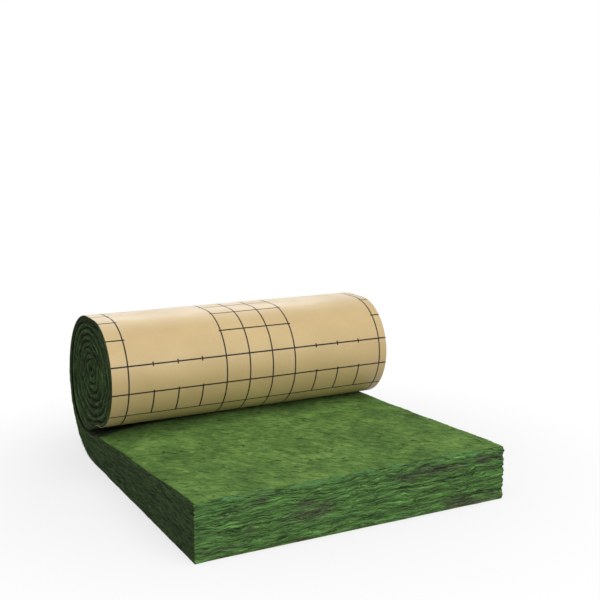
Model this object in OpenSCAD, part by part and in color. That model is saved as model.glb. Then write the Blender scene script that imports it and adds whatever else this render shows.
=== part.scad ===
// Roll of mineral wool insulation with a kraft paper facing, partly unrolled.
// The roll lies on its own unrolled length. The free end is at the front (-Y),
// the roll is at the back (+Y), and its axis runs along X.

/* [Blanket] */
// Width of the blanket, along the roll's axis
blanket_w = 1200; // [300:10:1400]
// Thickness of the wool at the free end, where it has sprung back
wool_t = 200; // [80:5:300]
// Thickness of the wool where the roll presses on it
nip_t = 175; // [40:5:250]
// Length from the free end to the line where the roll rests
unrolled_l = 1000; // [500:10:3000]

/* [Roll] */
// Diameter over the front of the roll
roll_d = 420; // [250:2:700]
// How far the last half turn stands off behind, where the wool swells again
roll_slack = 90; // [20:5:200]
// Thickness of one rolled turn, wool and facing together
turn_pitch = 25; // [15:1:60]
// How far the eye lies behind the line where the roll rests
eye_set = 80; // [10:5:100]
// Diameter of the small eye at the roll's centre
eye_d = 16; // [6:1:60]
// Width of the groove between the turns on the roll's ends
groove_w = 3; // [1:0.5:6]
// Depth of that groove
groove_depth = 8; // [2:1:25]

/* [Facing] */
// Thickness of the kraft paper with its adhesive
facing_t = 0.5; // [0.3:0.1:2]

/* [Hidden] */
$fn = 180;
// The front half of the roll is round about its axis and rests on the slab
roll_r = roll_d / 2;
nip_z = facing_t + nip_t;
roll_z = nip_z + roll_r;
top_z = roll_z + roll_r;
// The last half turn is one arc, from behind the roll's top down to the floor
back_r = top_z / 2;
overall_l = unrolled_l + roll_slack + back_r;
front_y = -overall_l / 2;
roll_y = front_y + unrolled_l;
back_y = roll_y + roll_slack;
// The slab's top runs from the free edge to the line where it touches the roll
free_z = facing_t + wool_t;
edge_dist = norm([unrolled_l, roll_z - free_z]);
edge_angle = atan2(roll_z - free_z, unrolled_l) - asin(roll_r / edge_dist);
touch_y = roll_y + roll_r * sin(edge_angle);
touch_z = roll_z - roll_r * cos(edge_angle);
// The turns are half rings whose centres close in on the eye from both sides
turns = floor((roll_r - eye_d / 2) / turn_pitch);
smallest_r = eye_d / 2 + 2 * groove_w;
big = 4 * (overall_l + top_z);

function front_ring_r(i) = roll_r - i * turn_pitch;
function back_ring_r(i) = roll_r - (i + 0.5) * turn_pitch;
function front_ring_y(i) = roll_y + eye_set * i / turns;
function back_ring_y(i) = back_y + turn_pitch + (roll_y + eye_set - back_y - turn_pitch) * i / turns;

// One half of a disc, its front (-1) or its back (1)
module half_disc(side, y, z, r) {
    intersection() {
        translate([y, z]) circle(r);
        translate([side < 0 ? y - big : y, -big]) square([big, 2 * big]);
    }
}

module half_ring(side, y, z, r, w) {
    difference() {
        half_disc(side, y, z, r + w / 2);
        translate([y, z]) circle(r - w / 2);
    }
}

// A level strip between two places, centred on its height
module strip(y0, y1, z, w) {
    translate([y0, z - w / 2]) square([y1 - y0, w]);
}

// A side view, drawn with Y across and Z up, made as wide as the blanket
module across(w) {
    translate([-w / 2, 0, 0]) rotate([90, 0, 90]) linear_extrude(w) children();
}

// The flat length, thick at the free end and pressed thin under the roll
module slab_profile() {
    difference() {
        polygon([
            [front_y, facing_t], [front_y, free_z], [touch_y, touch_z],
            [roll_y, touch_z], [roll_y + roll_slack / 2, facing_t + nip_t / 2], [roll_y, facing_t]
        ]);
        translate([roll_y, roll_z]) circle(roll_r);
    }
}

// The joint between the turns, wound from the nip in to the eye
module turn_joint() {
    for (i = [0 : turns]) {
        if (back_ring_r(i) > smallest_r) {
            half_ring(1, back_ring_y(i), roll_z - turn_pitch / 2, back_ring_r(i), groove_w);
            strip(front_ring_y(i), back_ring_y(i), roll_z - front_ring_r(i), groove_w);
            strip(front_ring_y(i + 1), back_ring_y(i), roll_z + front_ring_r(i + 1), groove_w);
        }
        if (i > 0 && front_ring_r(i) > smallest_r)
            half_ring(-1, front_ring_y(i), roll_z, front_ring_r(i), groove_w);
    }
}

// The roll with its last half turn, drawn in from the paper's outer face by an inset
module wound_body(w, inset) {
    across(w) translate([roll_y, roll_z]) circle(roll_r - inset);
    across(w) intersection() {
        translate([back_y, back_r]) circle(back_r - inset);
        translate([roll_y, 0]) square([back_r + roll_slack, top_z]);
    }
    across(w) strip(roll_y, back_y, back_r, top_z - 2 * inset);
}

module wool_blanket() {
    color([0.32, 0.43, 0.20])
    difference() {
        union() {
            wound_body(blanket_w, facing_t);
            across(blanket_w) slab_profile();
        }
        across(2 * blanket_w) translate([roll_y + eye_set, roll_z]) circle(eye_d / 2);
        for (end = [-1, 1])
            translate([end * blanket_w / 2, 0, 0]) across(2 * groove_depth) turn_joint();
    }
}

// The sheet lies under the slab, climbs the back and comes down the front
module kraft_facing() {
    color([0.80, 0.69, 0.50])
    difference() {
        union() {
            wound_body(blanket_w, 0);
            across(blanket_w) strip(front_y, back_y, facing_t / 2, facing_t);
        }
        wound_body(2 * blanket_w, facing_t);
    }
}

wool_blanket();
kraft_facing();
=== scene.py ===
import math
import random
import bpy
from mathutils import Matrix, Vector, noise


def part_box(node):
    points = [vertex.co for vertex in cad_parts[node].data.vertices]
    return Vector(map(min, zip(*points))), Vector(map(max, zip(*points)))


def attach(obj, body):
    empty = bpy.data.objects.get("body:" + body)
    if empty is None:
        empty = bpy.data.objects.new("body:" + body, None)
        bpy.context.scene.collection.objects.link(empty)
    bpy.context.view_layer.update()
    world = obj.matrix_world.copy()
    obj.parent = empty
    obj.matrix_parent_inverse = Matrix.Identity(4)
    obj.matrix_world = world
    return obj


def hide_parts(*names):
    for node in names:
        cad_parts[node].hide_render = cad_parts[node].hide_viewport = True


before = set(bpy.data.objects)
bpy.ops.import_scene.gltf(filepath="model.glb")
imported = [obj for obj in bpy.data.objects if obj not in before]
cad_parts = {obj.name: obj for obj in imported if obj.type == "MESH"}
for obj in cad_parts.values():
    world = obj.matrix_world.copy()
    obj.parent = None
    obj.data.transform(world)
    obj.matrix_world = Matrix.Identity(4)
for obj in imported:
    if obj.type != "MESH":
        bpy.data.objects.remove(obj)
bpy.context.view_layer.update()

# The camera stands in front of the free end and to its left, about 1.3 m up, and
# looks down along the blanket to the roll at the back.
look_down = 9.78
look_right = 27.84
camera_data = bpy.data.cameras.new("camera")
camera_data.lens = 60.2
camera = bpy.data.objects.new("camera", camera_data)
bpy.context.collection.objects.link(camera)
camera.location = (-1.667, -3.411, 1.327)
camera.rotation_euler = (math.radians(90 - look_down), 0, math.radians(-look_right))
bpy.context.scene.camera = camera

# The studio: a plain white floor, a big softbox in front, a smaller one overhead, a tall
# one at the back for the sheen on the paper, and a weak white room all round. Only the
# camera and mirrored rays see the room and the floor at their full white.
scene = bpy.context.scene
scene.view_settings.view_transform = "Standard"
white = (1, 1, 1, 1)
room_strength = 0.27
floor_size = 40
floor_level = -0.0006
floor_pale = (0.95, 0.95, 0.95, 1)
floor_grey = (0.4, 0.4, 0.4, 1)
fade_from, fade_to = 0.6, 1.6
white_share_near = 0.7


def feed(tree, socket, value):
    """Sets an input to a number or colour, or links it to another node's output."""
    if isinstance(value, (int, float, tuple)):
        socket.default_value = value
    else:
        tree.links.new(value, socket)


def node(tree, kind, inputs=None, **settings):
    made = tree.nodes.new("ShaderNode" + kind)
    for name, value in settings.items():
        setattr(made, name, value)
    for name, value in (inputs or {}).items():
        feed(tree, made.inputs[name], value)
    return made


def calc(tree, operation, *values):
    """The result of one sum with one to three values."""
    return node(tree, "Math", dict(enumerate(values)), operation=operation).outputs[0]


def seen_ray(tree):
    """One for the rays that see the white ground: from the camera, mirrored or through glass."""
    ray = node(tree, "LightPath").outputs
    seen = calc(tree, "MAXIMUM", ray["Is Camera Ray"], ray["Is Glossy Ray"])
    return calc(tree, "MAXIMUM", seen, ray["Is Transmission Ray"])


def mixed(tree, part, first, second):
    return node(tree, "MixShader", {0: part, 1: first.outputs[0], 2: second.outputs[0]})


def softbox(name, place, tilt, size, watts):
    lamp_data = bpy.data.lights.new(name, "AREA")
    lamp_data.shape = "RECTANGLE"
    lamp_data.size, lamp_data.size_y = size
    lamp_data.energy = watts
    lamp = bpy.data.objects.new(name, lamp_data)
    bpy.context.collection.objects.link(lamp)
    lamp.location = place
    lamp.rotation_euler = (math.radians(tilt), 0, 0)
    return lamp


world = bpy.data.worlds.new("room")
scene.world = world
world.use_nodes = True
room = world.node_tree
room.nodes.clear()
room_light = node(room, "Background", {"Color": white, "Strength": room_strength})
room_white = node(room, "Background", {"Color": white, "Strength": 1.0})
room_mix = mixed(room, seen_ray(room), room_light, room_white)
node(room, "OutputWorld", {0: room_mix.outputs[0]})

softbox("front_softbox", (0.0, -4.9, 2.9), tilt=61, size=(6.0, 4.2), watts=172)
overhead_lamp = softbox("overhead_softbox", (0.3, -1.2, 4.4), tilt=12, size=(4.4, 2.4), watts=64)
overhead_lamp.visible_glossy = False
back_lamp = softbox("back_softbox", (0.6, 3.4, 3.2), tilt=-55, size=(4.6, 4.2), watts=120)
back_lamp.visible_diffuse = False
back_lamp.visible_camera = False

bpy.ops.object.select_all(action="DESELECT")
bpy.ops.mesh.primitive_plane_add(size=floor_size, location=(0, 0, floor_level))
floor = bpy.context.object
floor.name = "floor"
floor_paint = bpy.data.materials.new("floor_paint")
floor_paint.use_nodes = True
tree = floor_paint.node_tree
tree.nodes.clear()
floor_lit = node(tree, "BsdfDiffuse", {"Color": floor_pale})
floor_dim = node(tree, "BsdfDiffuse", {"Color": floor_grey})
floor_white = node(tree, "Emission", {"Color": white, "Strength": 1.0})
floor_place = node(tree, "TexCoord").outputs["Object"]
floor_far = node(tree, "VectorMath", {0: floor_place}, operation="LENGTH").outputs["Value"]
floor_fade = node(tree, "MapRange", {
    "Value": floor_far, "From Min": fade_from, "From Max": fade_to,
    "To Min": white_share_near, "To Max": 1.0,
}, interpolation_type="SMOOTHSTEP")
floor_seen = mixed(tree, floor_fade.outputs[0], floor_lit, floor_white)
floor_mix = mixed(tree, seen_ray(tree), floor_dim, floor_seen)
node(tree, "OutputMaterial", {0: floor_mix.outputs[0]})
floor.data.materials.append(floor_paint)

# The blanket's flat length: mineral wool, laid down in thin felted layers and cut
# square. It is modelled flat, as it comes off the line, and then wound: the free end
# has sprung back to 200 mm, and the far end goes under the roll and up its back.
paper_low, paper_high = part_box("kraft_facing")
width = paper_high[0] - paper_low[0]
half_width = width / 2
free_end = paper_low[1]
roll_top = paper_high[2]
wool_thick = 0.2
paper_thick = 0.0005
free_thick = wool_thick + paper_thick
unrolled = 1.0
slack = 0.09
roll_radius = 0.21
turn = 0.025
eye_radius = 0.008
eye_set = 0.08
turns = int((roll_radius - eye_radius) / turn)
shrink = turn / roll_radius
roll_height = roll_top - roll_radius
nip_height = roll_height - roll_radius
back_radius = roll_top / 2
roll_back = free_end + unrolled
swing_back = roll_back + slack
eye_y = roll_back + eye_set
flat_run = unrolled + slack
back_run = math.pi * back_radius
outer_turn_run = 2.2
under_thick = 0.14
closing_angle = math.radians(64)
end_share = 0.1
oval_drop = 0.03
oval_start, oval_front = 16, 148
outer_gap, inner_gap = 0.0012, 0.0006
front_worn, side_worn = 0.0045, 0.004
front_seed, left_seed, right_seed = 21.0, 3.0, 8.0
# The first value darkens both cut sides all over with painted shade; the second darkens the front's layer
# joints.
side_painted_shade, front_crease = 0.53, 0.7
across_cells, along_flat, along_back, high_cells = 240, 160, 40, 48
flat_share = along_flat / (along_flat + along_back)
tiny = 1e-4


def clamp(value, low, high):
    return max(low, min(high, value))


def ramp(value, low, high):
    """Zero below the low value, one above the high one and even between them."""
    return clamp((value - low) / (high - low), 0.0, 1.0)


def slab_top(y):
    """The wool's top over the flat length: a straight run, then the roll's underside."""
    run = math.hypot(unrolled, roll_height - free_thick)
    slope = math.atan2(roll_height - free_thick, unrolled) - math.asin(roll_radius / run)
    touch = roll_back + roll_radius * math.sin(slope)
    if y < touch:
        return free_thick + math.tan(slope) * (y - free_end)
    if y < roll_back:
        return roll_height - math.sqrt(roll_radius ** 2 - (y - roll_back) ** 2)
    part = (y - roll_back) / slack
    return nip_height + (under_thick - nip_height) * part * part * (3 - 2 * part)


def back_face(angle, inset):
    """A point up the back, at an angle from the floor, inside the paper's outer face."""
    radius = back_radius - inset
    return swing_back + radius * math.sin(angle), back_radius - radius * math.cos(angle)


def front_face(angle):
    """A point down the roll's front, at an angle from its top."""
    return roll_back - roll_radius * math.sin(angle), roll_height + roll_radius * math.cos(angle)


def back_thick(angle):
    """The last half turn's thickness: swollen at the floor, pressed higher up the back."""
    swollen = max(0.0, 1 - angle / closing_angle)
    return turn + (under_thick - turn) * (0.85 * swollen + 0.15 * swollen ** 2)


def under_last(part):
    """The joint under the last half turn, from the nip round the back to the top."""
    if part < end_share:
        y = roll_back + slack * part / end_share
        return y, slab_top(y)
    if part < 1 - end_share:
        angle = (part - end_share) / (1 - 2 * end_share) * math.pi
        return back_face(angle, back_thick(angle))
    top_part = (part - (1 - end_share)) / end_share
    return swing_back - (slack - eye_set * shrink) * top_part, roll_top - turn


def winding(number, part):
    """A point of the joint after whole turns and a part of the next. The first turn has
    the roll's outline, the next evens out to an oval, and the rest close in on the eye."""
    if part <= 0.5:
        y, z = front_face(2 * math.pi * part)
        angle = math.radians(oval_start + 2 * oval_front * part)
    else:
        y, z = under_last(2 * part - 1)
        angle = math.radians(oval_start + oval_front + 2 * (360 - oval_front) * (part - 0.5))
    size = 1 - shrink * number - part * number * shrink ** 2 / (1 - shrink)
    oval_y = -(roll_radius + eye_set) * math.sin(angle)
    oval_z = (roll_radius + oval_drop) * math.cos(angle) - oval_drop
    oval_size = max(eye_radius / roll_radius, 1 - shrink * (number + part))
    even = ramp(number + part, 1, 2)
    y = (y - eye_y) * size * (1 - even) + oval_y * oval_size * even
    z = (z - roll_height) * size * (1 - even) + oval_z * oval_size * even
    return eye_y + y, roll_height + z


def wound(along):
    """The paper's outer face at a length along it, and the wool's inner face across from it."""
    if along <= flat_run:
        y = free_end + along
        return y, 0.0, y, slab_top(y)
    along -= flat_run
    if along <= back_run:
        angle = along / back_radius
        return *back_face(angle, 0), *back_face(angle, back_thick(angle))
    along -= back_run
    if along <= slack:
        return swing_back - along, roll_top, *under_last(1 - end_share + end_share * along / slack)
    angle = (along - slack) / roll_radius
    if angle <= math.pi:
        return *front_face(angle), *winding(1, angle / math.pi / 2)
    part = min((angle - math.pi) * roll_radius / outer_turn_run, 0.5)
    return *winding(0, 0.5 + part), *winding(1, 0.5 + part)


def thickness(faces):
    out_y, out_z, in_y, in_z = faces
    return math.hypot(in_y - out_y, in_z - out_z)


def between_faces(faces, part):
    """A point part of the way from the outer face to the inner one."""
    out_y, out_z, in_y, in_z = faces
    return out_y + (in_y - out_y) * part, out_z + (in_z - out_z) * part


def cut_cells(piece, axis, cells, where=None):
    """Cuts the edges that lie along an axis into equal cells, all of them or where asked."""
    most_at_once = 60
    steps = [cells]
    if cells > most_at_once:
        first = max(n for n in range(2, most_at_once + 1) if cells % n == 0)
        steps = [first, cells // first]
    mesh = piece.data
    for number in steps:
        bpy.ops.object.mode_set(mode="EDIT")
        bpy.ops.mesh.select_mode(type="EDGE")
        bpy.ops.mesh.select_all(action="DESELECT")
        bpy.ops.object.mode_set(mode="OBJECT")
        for edge in mesh.edges:
            start = mesh.vertices[edge.vertices[0]].co
            run = mesh.vertices[edge.vertices[1]].co - start
            edge.select = abs(run[axis]) > 0.9 * run.length and (where is None or where(start))
        bpy.ops.object.mode_set(mode="EDIT")
        bpy.ops.mesh.subdivide(number_cuts=number - 1)
        bpy.ops.object.mode_set(mode="OBJECT")


def blanket_box(name, along, high):
    """A unit box, cut along the blanket and through its thickness."""
    bpy.ops.object.select_all(action="DESELECT")
    bpy.ops.mesh.primitive_cube_add(size=1, location=(0.5, 0.5, 0.5))
    piece = bpy.context.object
    piece.name = name
    bpy.ops.object.transform_apply(location=True, rotation=True, scale=True)
    cut_cells(piece, 1, along)
    cut_cells(piece, 2, high)
    return piece


def wool_attributes(mesh):
    """What the wool's colours go by: the place in the flat blanket, the skin, and the dark joints and
    painted shade.
    """
    kinds = {"blanket_place": "FLOAT_VECTOR", "felted_skin": "FLOAT", "joint_and_painted_shade": "FLOAT"}
    for name, kind in kinds.items():
        mesh.attributes.new(name, kind, "POINT")
    return [mesh.attributes[name].data for name in kinds]


def rough(x, y, z, octaves=4):
    """Ragged noise about zero, the same in every run."""
    fade, finer = 0.9, 2.0
    return noise.fractal(Vector((x, y, z)), fade, finer, octaves)


def sag(x, along):
    """How far the wool lies below the roll: a little all along, most at the left edge."""
    all_along, at_left, left_reach, swell_run = 0.010, 0.034, 0.14, 0.10
    come_up = 1 - ramp(along, unrolled, flat_run + swell_run)
    left_sag = at_left * math.exp(-(x + half_width) / left_reach)
    return ramp(along, 0, unrolled) * come_up * (all_along + left_sag)


def nip_painted_shadow(x, along):
    """Painted shadow in the nip under the roll, wide at the left edge and closing to the right."""
    left_wide, right_wide, fade = 0.032, 0.008, 0.024
    wide = left_wide + (right_wide - left_wide) * (x / width + 0.5)
    return ramp(along, unrolled - wide, unrolled - wide + fade) ** 1.5


def layer_notch(run, high, seed):
    """The joints between five soft layers, open in some places and closed in others."""
    layers, joint_wide, wander, least_open = 5, 0.13, 0.014, 0.35
    layer = (high + wander * rough(run * 2.2, seed, high * 3, 2)) / wool_thick * layers
    notch = math.exp(-((layer - round(layer)) / joint_wide) ** 2)
    opening = ramp(rough(run * 1.7 + 9, seed, round(layer) * 3.7, 2), -0.3, 0.3)
    return notch * (least_open + (1 - least_open) * opening)


def layer_edge(run, high, seed):
    """How far a cut face falls back: at the layers' joints, and raggedly between them."""
    joint_deep, fibre_deep, set_back = 0.0055, 0.0035, 0.002
    fibres = rough(run * 9, seed + 4, high * 90)
    return joint_deep * layer_notch(run, high, seed) + fibre_deep * fibres + set_back


def open_length(along):
    """One on the open flat length, falling to zero just before and under the roll."""
    fade = 0.12
    return ramp(unrolled - fade / 2 - along, 0, fade)


def worn_off(distance, depth, reach=0.016):
    """How much is worn off at a distance from an edge."""
    return depth * max(0.0, 1 - distance / reach) ** 2


def top_relief(x, along):
    """The felted skin's soft swells and brushed streaks."""
    swell_high, streak_high, slant = 0.0045, 0.0018, 0.35
    swell = swell_high * rough(x * 3.1, along * 3.1, 2.0, 2)
    streak = streak_high * rough((x + slant * along) * 9, (along - slant * x) * 32, 7.0)
    return (swell + streak) * open_length(along)


def skin_lift(x, along, thick):
    """The height of the wool's skin over the paper, with the corners worn off."""
    worn = open_length(along) * (worn_off(half_width - abs(x), side_worn) + worn_off(along, front_worn))
    return thick - inner_gap - sag(x, along) + top_relief(x, along) - worn


def front_back(x, lift, from_top):
    """How far the cut front lies behind the paper's end: ragged, but even at the left corner."""
    corner_ragged, corner_reach = 0.35, 0.12
    ragged = corner_ragged + (1 - corner_ragged) * ramp(x, -half_width, -half_width + corner_reach)
    return ragged * layer_edge(x, lift, front_seed) + worn_off(from_top, front_worn)


def side_back(right, along, high, from_top):
    """How far a cut side lies in from the paper's edge: the right one is the more ragged."""
    left_ragged, top_reach = 0.45, 0.014
    if right:
        ragged = layer_edge(along, high, right_seed)
    else:
        ragged = left_ragged * layer_edge(along, high, left_seed)
    return ragged + worn_off(from_top, side_worn, top_reach) * open_length(along)


def front_joint_shade(x, lift):
    """The dark in the front's joints, deepest at the right corner."""
    least = 0.25
    return front_crease * layer_notch(x, lift, front_seed) * (least + (1 - least) * ramp(x, 0, half_width))


def seen_top_or_front(start):
    """Where the flat box gets fine cells: over the cut front, and the top as far as the nip."""
    return start.y < tiny or (start.z > 1 - tiny and start.y < flat_share)


flat_length = blanket_box("wool_flat_length", along_flat + along_back, high_cells)
cut_cells(flat_length, 0, across_cells, seen_top_or_front)
mesh = flat_length.data
place_of, skin_of, joint_and_shade_of = wool_attributes(mesh)
for vertex in mesh.vertices:
    u, v, t = vertex.co
    at_side = u < tiny or u > 1 - tiny
    at_front = v < tiny
    on_top = t > 1 - tiny
    right = u > 0.5
    x = (u - 0.5) * width
    cell = v * (along_flat + along_back)
    if cell <= along_flat:
        along = cell / along_flat * flat_run
    else:
        along = flat_run + (cell - along_flat) / along_back * (back_run + slack)
    faces = wound(along)
    thick = thickness(faces)
    from_top = (1 - t) * thick
    lift = outer_gap + t * (thick - outer_gap - inner_gap - sag(x, along))
    push_x = push_y = shade = 0.0
    if at_front:
        push_y = front_back(x, lift, from_top)
        shade = front_joint_shade(x, lift)
    if at_side:
        push_x = side_back(right, along, t * wool_thick, from_top) * (-1 if right else 1)
        # Painted shade over the whole cut side.
        shade = side_painted_shade
    if on_top:
        lift = skin_lift(x, along, thick)
        # The skin is darkened into the nip under the roll: painted shadow.
        shade = nip_painted_shadow(x, along)
    place_of[vertex.index].vector = (x, along, lift)
    skin_of[vertex.index].value = 1.0 if on_top else 0.0
    joint_and_shade_of[vertex.index].value = shade
    y, z = between_faces(faces, lift / thick)
    vertex.co = (x + push_x, y + push_y, z)
bpy.ops.object.shade_smooth_by_angle(angle=math.radians(55))


def stretched_noise(tree, place, scale, turn_deg=0, detail=4, rough_part=0.6, distort=0.0):
    """Noise in waves per metre that differ along the three axes, turned in the blanket's plane."""
    turned = (0, 0, math.radians(turn_deg))
    laid = node(tree, "Mapping", {"Vector": place, "Rotation": turned}).outputs[0]
    sized = node(tree, "VectorMath", {0: laid, 1: scale}, operation="MULTIPLY").outputs[0]
    return node(tree, "TexNoise", {
        "Vector": sized, "Scale": 1.0, "Detail": detail, "Roughness": rough_part, "Distortion": distort,
    }).outputs["Fac"]


def weighed(tree, *parts):
    """The sum of values, each times its own weight."""
    total = None
    for value, weight in parts:
        part = calc(tree, "MULTIPLY", value, weight)
        total = part if total is None else calc(tree, "ADD", total, part)
    return total


def spread(tree, value, low, high):
    """A value drawn out softly to run from zero to one."""
    inputs = {"Value": value, "From Min": low, "From Max": high}
    return node(tree, "MapRange", inputs, interpolation_type="SMOOTHSTEP").outputs[0]


def from_to(tree, part, start, end):
    """A value that goes evenly from a start to an end as a part goes from zero to one."""
    return calc(tree, "MULTIPLY_ADD", part, end - start, start)


def colour_steps(tree, value, steps):
    made = node(tree, "ValToRGB", {0: value})
    band = made.color_ramp
    while len(band.elements) > 1:
        band.elements.remove(band.elements[-1])
    for i, (at, colour) in enumerate(steps):
        stop = band.elements[0] if i == 0 else band.elements.new(at)
        stop.position = at
        stop.color = (*colour, 1)
    return made.outputs[0]


def blend_colour(tree, part, first, second):
    """The first colour with a part of the second over it."""
    if isinstance(second, tuple):
        second = (*second, 1)
    inputs = {0: part, 6: first, 7: second}
    return node(tree, "Mix", inputs, data_type="RGBA").outputs[2]


def bumped(tree, shader, height, strength, distance):
    inputs = {"Height": height, "Strength": strength, "Distance": distance}
    tree.links.new(node(tree, "Bump", inputs).outputs[0], shader.inputs["Normal"])


joint_and_shade_black = (0.006, 0.007, 0.006)
gap_black = (0.014, 0.018, 0.012)
pit_green = (0.034, 0.066, 0.020)
wave_lift = 0.045
gap_dark = 0.75
shade_and_joint_brown = 1.1
skin_bump = 0.6
wool = bpy.data.materials.new("mineral_wool")
wool.use_nodes = True
tree = wool.node_tree
shader = tree.nodes["Principled BSDF"]
place = node(tree, "Attribute", attribute_name="blanket_place").outputs["Vector"]
skin = node(tree, "Attribute", attribute_name="felted_skin").outputs["Fac"]
joint_and_painted_shade = node(tree, "Attribute", attribute_name="joint_and_painted_shade").outputs["Fac"]
waves = stretched_noise(tree, place, (8, 8, 9), detail=3, distort=0.3)
wave_height = calc(tree, "MULTIPLY", calc(tree, "SUBTRACT", waves, 0.5), wave_lift)
lifted = node(tree, "CombineXYZ", {"Z": wave_height}).outputs[0]
waved = node(tree, "VectorMath", {0: place, 1: lifted}, operation="ADD").outputs[0]
strands = stretched_noise(tree, waved, (9, 9, 180), rough_part=0.62, distort=0.4)
fine = stretched_noise(tree, waved, (22, 22, 380), detail=3, distort=0.3)
gaps = stretched_noise(tree, waved, (7, 7, 62), distort=0.9)
patches = stretched_noise(tree, place, (4, 4, 17), detail=3, rough_part=0.55, distort=0.6)
clouds = stretched_noise(tree, place, (6, 5, 30), 20, detail=3, rough_part=0.55, distort=0.6)
streaks = stretched_noise(tree, place, (38, 14, 60), -32, detail=5, rough_part=0.62, distort=1.1)
tufts = stretched_noise(tree, place, (22, 22, 60), -20, detail=5, rough_part=0.64, distort=1.5)
pits = stretched_noise(tree, place, (38, 17, 60), -40, rough_part=0.62, distort=0.8)
hairs = stretched_noise(tree, place, (190, 30, 60), -36, rough_part=0.66, distort=0.9)
cut_mix = weighed(tree, (strands, 0.62), (fine, 0.38))
skin_mix = weighed(tree, (streaks, 0.29), (tufts, 0.20), (clouds, 0.29), (hairs, 0.22))
cut_colour = colour_steps(tree, cut_mix, [
    (0.40, (0.032, 0.059, 0.027)), (0.47, (0.091, 0.197, 0.057)),
    (0.53, (0.140, 0.307, 0.076)), (0.62, (0.233, 0.513, 0.140)),
])
brown_colour = colour_steps(tree, cut_mix, [
    (0.40, (0.029, 0.035, 0.024)), (0.50, (0.105, 0.125, 0.072)), (0.62, (0.218, 0.301, 0.128)),
])
brown_patch = spread(tree, patches, 0.53, 0.66)
# The dark joints and the painted shade lean to brown.
brown_part = calc(tree, "MAXIMUM", brown_patch, calc(tree, "MULTIPLY", joint_and_painted_shade, shade_and_joint_brown))
cut_colour = blend_colour(tree, brown_part, cut_colour, brown_colour)
gap_line = calc(tree, "ABSOLUTE", calc(tree, "SUBTRACT", gaps, 0.5))
gap_open = calc(tree, "SUBTRACT", 1.0, spread(tree, gap_line, 0.004, 0.03))
cut_colour = blend_colour(tree, calc(tree, "MULTIPLY", gap_open, gap_dark), cut_colour, gap_black)
skin_colour = colour_steps(tree, skin_mix, [
    (0.425, (0.064, 0.126, 0.031)), (0.475, (0.104, 0.206, 0.046)),
    (0.525, (0.140, 0.263, 0.057)), (0.585, (0.228, 0.367, 0.091)),
])
skin_colour = blend_colour(tree, spread(tree, pits, 0.575, 0.69), skin_colour, pit_green)
wool_colour = blend_colour(tree, skin, cut_colour, skin_colour)
# Darkened towards near-black at the layer joints, and with painted shade: the shadow in the nip, the cut
# sides and the rolled ends.
wool_colour = blend_colour(tree, joint_and_painted_shade, wool_colour, joint_and_shade_black)
tree.links.new(wool_colour, shader.inputs["Base Color"])
skin_height = calc(tree, "MULTIPLY", skin_mix, skin_bump)
height = node(tree, "Mix", {0: skin, 2: cut_mix, 3: skin_height}, data_type="FLOAT").outputs[0]
bumped(tree, shader, height, strength=0.75, distance=0.012)
wool_rough = from_to(tree, spread(tree, height, 0.42, 0.58), 1.0, 0.9)
tree.links.new(wool_rough, shader.inputs["Roughness"])
shader.inputs["Specular IOR Level"].default_value = 0.06
shader.inputs["Sheen Weight"].default_value = 0.1
shader.inputs["Sheen Roughness"].default_value = 0.5
shader.inputs["Sheen Tint"].default_value = (0.45, 0.6, 0.3, 1)
mesh.materials.append(wool)
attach(flat_length, "root")

# The rolled turns: the same wool, pressed to an eighth of its thickness. Each turn swells a little past its
# joints on the cut ends, so the winding shows as a spiral of soft ridges round a small eye. The cut ends
# carry painted shade all over, painted light on the ridges in patches, and dark joints.
edge_rows = (0.0, 0.003, 0.008, 0.016, 0.04)
end_rows = edge_rows + tuple(width - row for row in reversed(edge_rows))
steps_each, turn_rows = 120, 8
first_turn_run, run_less = 1.6, 0.08
thinnest = 0.004
grain_each = 0.04
# Painted shade over the rolled ends, and painted light on their ridges.
turn_painted_shade, ridge_painted_light = 0.49, 0.34


def waver(y, z, seed):
    """How far a turn strays from its oval, in broad waves and small ones."""
    broad, small = 0.006, 0.0025
    return broad * rough(y * 15, z * 15, seed, 2) + small * rough(y * 40, z * 40, seed + 2, 2)


turns_wool = blanket_box("wool_turns", turns * steps_each, turn_rows)
cut_cells(turns_wool, 0, len(end_rows) - 1)
mesh = turns_wool.data
place_of, skin_of, joint_and_shade_of = wool_attributes(mesh)
for vertex in mesh.vertices:
    u, v, t = vertex.co
    right = u > 0.5
    x = end_rows[round(u * (len(end_rows) - 1))] - half_width
    step = round(v * turns * steps_each)
    number = min(step // steps_each, turns - 1)
    part = step / steps_each - number
    along = (number + part) * (first_turn_run - run_less * number)
    faces = *winding(number, part), *winding(number + 1, part)
    thick = max(thickness(faces), thinnest)
    y, z = between_faces(faces, (outer_gap + t * (thick - outer_gap - inner_gap)) / thick)
    sway = ramp(number + part + t, 1.0, 2.5)
    shift_y, shift_z = waver(y, z, 3.0), waver(y, z, 13.0)
    y += sway * shift_y
    z += sway * shift_z
    outermost = number + part + t < 1.3
    joint_deep, joint_dark = (0.005, 0.15) if outermost else (0.010, 0.28)
    from_joint = 1 - abs(2 * t - 1)
    ragged = 0.003 * rough(along * 6, t * 3, 11.0 if right else 5.0) + 0.002
    back = joint_deep * (1 - from_joint) ** 3 + ragged
    x += -back if right else back
    ridge = from_joint ** 2 * ramp(rough(y * 12, z * 12, 21.0, 3), -0.3, 0.3)
    place_of[vertex.index].vector = (x, along, (number + t) * grain_each)
    skin_of[vertex.index].value = 0.0
    # Painted shade over the end, less of it on the ridges as painted light, and more at the dark joints.
    joint_and_shade_of[vertex.index].value = turn_painted_shade - ridge_painted_light * ridge + joint_dark * (1 - from_joint) ** 5
    vertex.co = (x, y, z)
bpy.ops.object.shade_smooth_by_angle(angle=math.radians(55))
mesh.materials.append(wool)
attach(turns_wool, "root")
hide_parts("wool_blanket")

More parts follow.
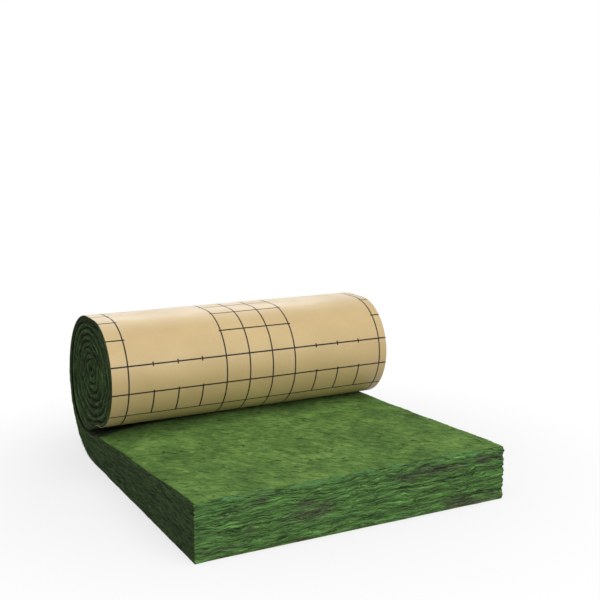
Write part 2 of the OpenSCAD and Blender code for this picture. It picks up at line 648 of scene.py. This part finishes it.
# The loose fibres: fine strands that stand off the skin and the cut faces, thickest
# along the free end's upper edge. They are tapered threads laid on the same surfaces,
# with both ends tucked into the wool.
skin_threads, front_threads, fringe_tries, side_threads = 1500, 1300, 1200, 2400
thread_points, thread_sides = 5, 3
skin_reach, front_reach, fringe_reach, side_reach = (0.02, 0.075), (0.02, 0.08), (0.015, 0.05), (0.02, 0.07)
fine_radius, front_radius, fringe_radius = (0.0003, 0.0007), (0.0003, 0.0008), (0.0004, 0.0010)
open_off, side_off, fringe_off = (0.0005, 0.003), (0.0003, 0.0022), 0.003
front_shades = (0.0, 0.1, 0.5, 0.7, 0.8)
draw = random.Random(11)


def on_skin(x, along, off):
    faces = wound(along)
    thick = thickness(faces)
    return Vector((x, *between_faces(faces, (skin_lift(x, along, thick) + off) / thick)))


def on_front(x, lift, off):
    return Vector((x, free_end + front_back(x, lift, free_thick - lift) - off, lift))


def on_side(right, along, part, off):
    faces = wound(along)
    back = side_back(right, along, part * wool_thick, (1 - part) * wool_thick) - off
    x = half_width - back if right else back - half_width
    part *= 1 - sag(x, along) / thickness(faces)
    return Vector((x, *between_faces(faces, part)))


def thread_run(reach, bow=0.0):
    """A thread's points by number: how far each lies from the middle, and how far it bows out."""
    for j in range(thread_points):
        from_middle = j / (thread_points - 1) - 0.5
        yield j, from_middle * reach, bow * reach * (1 - (2 * from_middle) ** 2)


def stand_off(j, off, tuck=0.0015):
    """How far a thread's point stands off the wool: both its ends are tucked in."""
    return off * (0.6, 1.0, 0.6)[j - 1] if 0 < j < thread_points - 1 else -tuck


def thread(mesh_parts, points, radius, shade):
    """A thread of five points with three sides, thin at both ends."""
    points_made, faces_made, shades = mesh_parts
    aslant = Vector((0.31, 0.52, 0.79))
    base = len(points_made)
    last = thread_points - 1
    for j, point in enumerate(points):
        ahead = (points[min(j + 1, last)] - points[max(j - 1, 0)]).normalized()
        side = ahead.cross(aslant).normalized()
        over = ahead.cross(side)
        size = radius * (1 - 0.35 * abs(j - last / 2))
        for i in range(thread_sides):
            angle = i * math.tau / thread_sides
            points_made.append(point + size * (side * math.cos(angle) + over * math.sin(angle)))
            shades.append(shade)
    for j in range(last):
        here = base + j * thread_sides
        ahead = here + thread_sides
        for i in range(thread_sides):
            beside = (i + 1) % thread_sides
            faces_made.append((here + i, here + beside, ahead + beside, ahead + i))
    end = base + last * thread_sides
    faces_made.append((base + 2, base + 1, base))
    faces_made.append((end, end + 1, end + 2))


fibre_wool = bpy.data.materials.new("wool_fibres")
fibre_wool.use_nodes = True
tree = fibre_wool.node_tree
shader = tree.nodes["Principled BSDF"]
fibre_shade = node(tree, "Attribute", attribute_name="fibre_shade").outputs["Fac"]
fibre_colour = colour_steps(tree, fibre_shade, [
    (0.0, (0.057, 0.098, 0.034)), (0.45, (0.144, 0.265, 0.069)),
    (0.75, (0.230, 0.414, 0.121)), (1.0, (0.172, 0.494, 0.218)),
])
tree.links.new(fibre_colour, shader.inputs["Base Color"])
fibre_rough = from_to(tree, fibre_shade, 0.8, 0.6)
tree.links.new(fibre_rough, shader.inputs["Roughness"])
shader.inputs["Specular IOR Level"].default_value = 0.2


def fibre_piece(name, mesh_parts):
    points_made, faces_made, shades = mesh_parts
    mesh = bpy.data.meshes.new(name)
    mesh.from_pydata(points_made, [], faces_made)
    shade_of = mesh.attributes.new("fibre_shade", "FLOAT", "POINT").data
    shade_of.foreach_set("value", shades)
    mesh.shade_smooth()
    mesh.materials.append(fibre_wool)
    piece = bpy.data.objects.new(name, mesh)
    bpy.context.collection.objects.link(piece)
    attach(piece, "root")


parts = [], [], []
for number in range(skin_threads):
    x = draw.uniform(-half_width + 0.01, half_width - 0.01)
    along = draw.uniform(0.012, unrolled - 0.05)
    heading = math.radians(draw.gauss(62, 28))
    reach = draw.uniform(*skin_reach)
    bow = draw.gauss(0, 0.12)
    off = draw.uniform(*open_off)
    points = []
    for j, step, swerve in thread_run(reach, bow):
        at_x = x + step * math.cos(heading) - swerve * math.sin(heading)
        at_along = along - step * math.sin(heading) - swerve * math.cos(heading)
        at_x = clamp(at_x, -half_width + 0.002, half_width - 0.002)
        points.append(on_skin(at_x, max(0.002, at_along), stand_off(j, off)))
    thread(parts, points, draw.uniform(*fine_radius), draw.betavariate(2, 2) * 0.8)
fibre_piece("wool_skin_fibres", parts)

parts = [], [], []
for number in range(front_threads):
    x = draw.uniform(-half_width + 0.004, half_width - 0.01)
    lift = draw.uniform(0.004, free_thick - 0.004)
    slope = draw.gauss(0, 0.12)
    reach = draw.uniform(*front_reach)
    bow = draw.gauss(0, 0.06)
    off = draw.uniform(*open_off)
    points = []
    for j, step, swerve in thread_run(reach, bow):
        at_x = clamp(x + step, -half_width + 0.003, half_width - 0.004)
        at_lift = clamp(lift + slope * step + swerve, 0.003, free_thick - 0.003)
        points.append(on_front(at_x, at_lift, stand_off(j, off)))
    thread(parts, points, draw.uniform(*front_radius), draw.choice(front_shades))
for number in range(fringe_tries):
    x = draw.uniform(-half_width + 0.02, half_width - 0.03)
    crowded = ramp(rough(x * 8, 3.0, 1.0, 2), -0.15, 0.4)
    if crowded < draw.random():
        continue
    reach = draw.uniform(*fringe_reach)
    low = draw.uniform(0.001, 0.006 + 0.012 * crowded)
    drop = draw.gauss(0, 0.22)
    bow = draw.gauss(0, 0.05)
    points = []
    for j, step, swerve in thread_run(reach, bow):
        at_lift = min(free_thick + 0.001, free_thick - low + drop * step + swerve)
        points.append(on_front(x + step, at_lift, stand_off(j, fringe_off, tuck=0.001)))
    thread(parts, points, draw.uniform(*fringe_radius), draw.uniform(0.6, 1.0))
fibre_piece("wool_front_fibres", parts)

parts = [], [], []
for number in range(side_threads):
    right = number % 2 == 0
    along = draw.uniform(0.006, flat_run + 0.5)
    part = draw.uniform(0.02, 0.97)
    slope = draw.gauss(0, 0.5)
    reach = draw.uniform(*side_reach)
    off = draw.uniform(*side_off)
    points = []
    for j, step, swerve in thread_run(reach):
        at_part = clamp(part + slope * step, 0.015, 0.98)
        points.append(on_side(right, max(0.002, along + step), at_part, stand_off(j, off)))
    thread(parts, points, draw.uniform(*fine_radius), draw.betavariate(2, 3) * 0.6)
fibre_piece("wool_side_fibres", parts)

# The kraft facing: brown paper stuck to the wool's outer face, printed with a cutting
# guide in steps of about 100 mm. It is one sheet, from the free end under the slab, up
# the back, over the roll and down its front, and on into the nip.
paper_short = 0.006
paper_narrow, widen_run = 0.008, 0.4
nip_tuck = 0.04
front_run = math.pi * roll_radius
paper_across = 60
paper_runs = ((flat_run, 40), (back_run, 72), (slack, 8), (front_run, 96), (nip_tuck, 8))
paper_cells = sum(cells for length, cells in paper_runs)
nip_along = flat_run + back_run + slack + front_run
wave_high = 0.0006
waves_from, waves_to = flat_run + 0.1, nip_along - 0.03
bpy.ops.object.select_all(action="DESELECT")
bpy.ops.mesh.primitive_grid_add(x_subdivisions=paper_across, y_subdivisions=paper_cells, size=1)
facing = bpy.context.object
facing.name = "kraft_facing_sheet"
mesh = facing.data
printed = []
for vertex in mesh.vertices:
    cell = (vertex.co.y + 0.5) * paper_cells
    along = 0.0
    for length, cells in paper_runs:
        part = min(cell, cells)
        along += part / cells * length
        cell -= part
    along = max(along, paper_short)
    x = vertex.co.x * (width - paper_narrow * (1 - ramp(along, flat_run, flat_run + widen_run)))
    inset = 0.0
    if waves_from < along < waves_to:
        inset = wave_high * rough(x * 3, along * 4, 1.0, 2) / turn
    printed.append((x + half_width, nip_along - along))
    vertex.co = (x, *between_faces(wound(along), inset))
print_map = mesh.uv_layers[0]
print_map.name = "print"
for loop in mesh.loops:
    print_map.data[loop.index].uv = printed[loop.vertex_index]
bpy.ops.object.mode_set(mode="EDIT")
bpy.ops.mesh.select_all(action="SELECT")
bpy.ops.mesh.normals_make_consistent(inside=False)
bpy.ops.object.mode_set(mode="OBJECT")
paper_body = facing.modifiers.new("paper_thickness", "SOLIDIFY")
paper_body.thickness = paper_thick
paper_body.offset = 0.0
bpy.ops.object.modifier_apply(modifier="paper_thickness")
bpy.ops.object.shade_smooth_by_angle(angle=math.radians(50))

guide_step = 0.1
line_half = 0.0029
row_step = 0.107
rows_in_all = 6
first_row = 0.179
row_inset = 0.005
line_over, short_over = 0.008, 0.007
tick_half = 0.009
print_shift = 0.015
ink_black = (0.009, 0.007, 0.006)
ink_rough = 0.3
kraft = bpy.data.materials.new("kraft_paper")
kraft.use_nodes = True
tree = kraft.node_tree
shader = tree.nodes["Principled BSDF"]
paper_place = node(tree, "UVMap", uv_map="print").outputs[0]
split = node(tree, "SeparateXYZ", {0: paper_place}).outputs
across, up = split[0], split[1]


def near_line(value, at):
    gap = calc(tree, "ABSOLUTE", calc(tree, "SUBTRACT", value, at))
    return calc(tree, "LESS_THAN", gap, line_half)


def row_line(number):
    return near_line(row, row_inset + number * row_step)


def between(value, low, high):
    above = calc(tree, "GREATER_THAN", value, low)
    return calc(tree, "MULTIPLY", above, calc(tree, "LESS_THAN", value, high))


def either(*parts):
    total = parts[0]
    for part in parts[1:]:
        total = calc(tree, "MAXIMUM", total, part)
    return total


# The guide is alike about the middle of the width. Lines run the whole length beside the
# middle and near the edges, and short ones and ticks stand in the panels between them.
both_sides = calc(tree, "ABSOLUTE", calc(tree, "SUBTRACT", across, half_width + print_shift))
up_rows = calc(tree, "SUBTRACT", up, first_row - row_inset)
row = calc(tree, "FLOORED_MODULO", up_rows, rows_in_all * row_step)
half_step = guide_step / 2
in_steps = calc(tree, "PINGPONG", calc(tree, "SUBTRACT", both_sides, half_step), half_step)
step_line = calc(tree, "LESS_THAN", in_steps, line_half)
inner_line, outer_line = 1.5 * guide_step, 5.5 * guide_step
full_lines = either(*[near_line(both_sides, at) for at in (half_step, inner_line, outer_line)])
panel = between(both_sides, 2 * guide_step, 5 * guide_step)
tick_row = row_inset + 2 * row_step
first_rows = between(row, row_inset, row_inset + row_step + short_over)
tick_rows = between(row, tick_row - tick_half, tick_row + tick_half)
in_panel = calc(tree, "MULTIPLY", step_line, panel)
short_lines = calc(tree, "MULTIPLY", in_panel, either(first_rows, tick_rows))
cross_lines = either(*[row_line(number) for number in range(3)])
part_lines = either(*[row_line(number) for number in range(3, rows_in_all)])
middle = calc(tree, "LESS_THAN", both_sides, inner_line + line_over)
margin = calc(tree, "GREATER_THAN", both_sides, outer_line - line_over)
stub_lines = calc(tree, "MULTIPLY", part_lines, either(middle, margin))
ink = either(full_lines, short_lines, cross_lines, stub_lines)
pulp = stretched_noise(tree, paper_place, (90, 420, 1), distort=0.2)
mottle = stretched_noise(tree, paper_place, (6, 9, 1), detail=3, rough_part=0.5, distort=0.3)
paper_mix = weighed(tree, (pulp, 0.5), (mottle, 0.5))
paper_colour = colour_steps(tree, paper_mix, [(0.35, (0.618, 0.448, 0.214)), (0.65, (0.702, 0.516, 0.250))])
printed_colour = blend_colour(tree, ink, paper_colour, ink_black)
tree.links.new(printed_colour, shader.inputs["Base Color"])
bumped(tree, shader, paper_mix, strength=0.12, distance=0.002)
paper_rough = from_to(tree, spread(tree, paper_mix, 0.35, 0.65), 0.47, 0.37)
printed_rough = calc(tree, "MULTIPLY_ADD", ink, ink_rough, paper_rough)
tree.links.new(printed_rough, shader.inputs["Roughness"])
shader.inputs["Specular IOR Level"].default_value = 0.5
mesh.materials.append(kraft)
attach(facing, "root")
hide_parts("kraft_facing")
